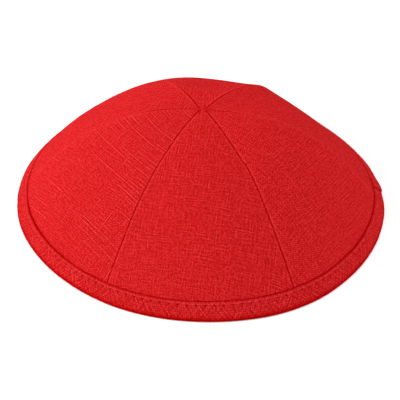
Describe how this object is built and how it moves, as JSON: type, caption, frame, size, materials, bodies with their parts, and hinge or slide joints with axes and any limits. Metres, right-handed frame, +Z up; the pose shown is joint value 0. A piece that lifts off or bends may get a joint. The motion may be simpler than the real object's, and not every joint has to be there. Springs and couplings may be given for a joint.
{
  "type": "kippah",
  "caption": "Low round skullcap sewn from linen wedge panels that meet at the top, its rim bound with a folded, topstitched strip.",
  "frame": {"origin": "centre of the rim, on the surface the kippah rests on", "axes": "+Z up through the crown, -Y towards the side that the picture shows as the front, +X to the right in the picture"},
  "size_m": [0.1685, 0.1724, 0.0502],
  "materials": {
    "crown_linen": "matt red linen with a slubby plain weave",
    "strip_linen": "the same red linen cut on the bias"
  },
  "bodies": {
    "root": {"panel_front": "crown_linen", "panel_front_right": "crown_linen", "panel_back_right": "crown_linen", "panel_back": "crown_linen", "panel_back_left": "crown_linen", "panel_front_left": "crown_linen", "rim_binding": "strip_linen"}
  },
  "joints": []
}
